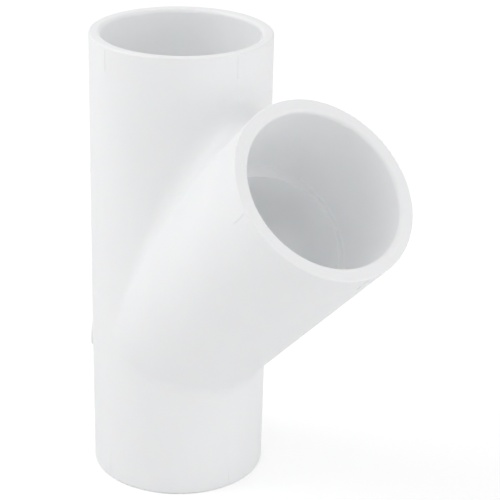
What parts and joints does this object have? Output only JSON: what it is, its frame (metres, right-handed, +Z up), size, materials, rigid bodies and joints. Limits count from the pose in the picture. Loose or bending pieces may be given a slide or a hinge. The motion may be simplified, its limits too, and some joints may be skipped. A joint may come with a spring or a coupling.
{
  "type": "lateral wye fitting",
  "caption": "White plastic lateral wye: a straight run with a 45 degree branch and a pipe socket in each of its three ends.",
  "frame": {"origin": "centre of the run's lower mouth, on the plane it stands on", "axes": "+Z up along the run, towards its upper mouth; +X the side the branch leans to; Y across the fitting's plane of symmetry"},
  "size_m": [0.1448, 0.0714, 0.1802],
  "materials": {
    "white_pvc": "satin"
  },
  "bodies": {
    "root": {"wye_body": "white_pvc"}
  },
  "joints": []
}
